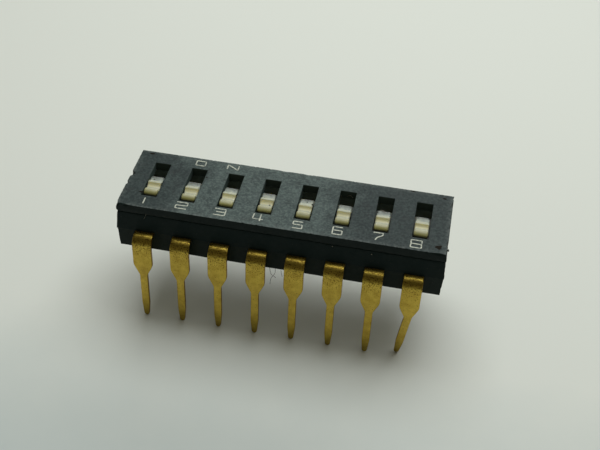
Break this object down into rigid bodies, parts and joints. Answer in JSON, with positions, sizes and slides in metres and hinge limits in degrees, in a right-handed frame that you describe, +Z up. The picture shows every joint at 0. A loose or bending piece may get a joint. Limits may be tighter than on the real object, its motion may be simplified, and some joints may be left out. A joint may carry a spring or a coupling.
{
  "type": "dip switch",
  "caption": "Slide switch in a dual in-line package: a black two-part housing with numbered slots, ivory sliders and gold-plated through-hole leads.",
  "frame": {"origin": "centre of the plane of the lead tips", "axes": "+X along the rows towards position 8, +Y towards the ON side, +Z up out of the cover"},
  "size_m": [0.0216, 0.0078, 0.009],
  "materials": {
    "base_plastic": "moulded, glass-filled, near black, lightly dusty",
    "cover_plastic": "moulded, weathered dark grey with printed white numbers",
    "slider_plastic": "moulded ivory, satin",
    "lead_metal": "gold plated over copper alloy, satin",
    "bridge_metal": "gold plated spring strip"
  },
  "bodies": {
    "housing": {"base": "base_plastic", "cover": "cover_plastic", "terminal_front_1": "lead_metal", "terminal_front_2": "lead_metal", "terminal_front_3": "lead_metal", "terminal_front_4": "lead_metal", "terminal_front_5": "lead_metal", "terminal_front_6": "lead_metal", "terminal_front_7": "lead_metal", "terminal_front_8": "lead_metal", "terminal_back_1": "lead_metal", "terminal_back_2": "lead_metal", "terminal_back_3": "lead_metal", "terminal_back_4": "lead_metal", "terminal_back_5": "lead_metal", "terminal_back_6": "lead_metal", "terminal_back_7": "lead_metal", "terminal_back_8": "lead_metal"},
    "switch_1": {"slider_1": "slider_plastic", "bridge_1": "bridge_metal"},
    "switch_2": {"slider_2": "slider_plastic", "bridge_2": "bridge_metal"},
    "switch_3": {"slider_3": "slider_plastic", "bridge_3": "bridge_metal"},
    "switch_4": {"slider_4": "slider_plastic", "bridge_4": "bridge_metal"},
    "switch_5": {"slider_5": "slider_plastic", "bridge_5": "bridge_metal"},
    "switch_6": {"slider_6": "slider_plastic", "bridge_6": "bridge_metal"},
    "switch_7": {"slider_7": "slider_plastic", "bridge_7": "bridge_metal"},
    "switch_8": {"slider_8": "slider_plastic", "bridge_8": "bridge_metal"}
  },
  "joints": [
    {"name": "switch_1_slide", "type": "slide", "parent": "housing", "child": "switch_1", "axis": [0, 1, 0], "range_m": [0, 0.0011]},
    {"name": "switch_2_slide", "type": "slide", "parent": "housing", "child": "switch_2", "axis": [0, 1, 0], "range_m": [0, 0.0011]},
    {"name": "switch_3_slide", "type": "slide", "parent": "housing", "child": "switch_3", "axis": [0, 1, 0], "range_m": [0, 0.0011]},
    {"name": "switch_4_slide", "type": "slide", "parent": "housing", "child": "switch_4", "axis": [0, 1, 0], "range_m": [0, 0.0011]},
    {"name": "switch_5_slide", "type": "slide", "parent": "housing", "child": "switch_5", "axis": [0, 1, 0], "range_m": [0, 0.0011]},
    {"name": "switch_6_slide", "type": "slide", "parent": "housing", "child": "switch_6", "axis": [0, 1, 0], "range_m": [0, 0.0011]},
    {"name": "switch_7_slide", "type": "slide", "parent": "housing", "child": "switch_7", "axis": [0, 1, 0], "range_m": [0, 0.0011]},
    {"name": "switch_8_slide", "type": "slide", "parent": "housing", "child": "switch_8", "axis": [0, 1, 0], "range_m": [0, 0.0011]}
  ]
}
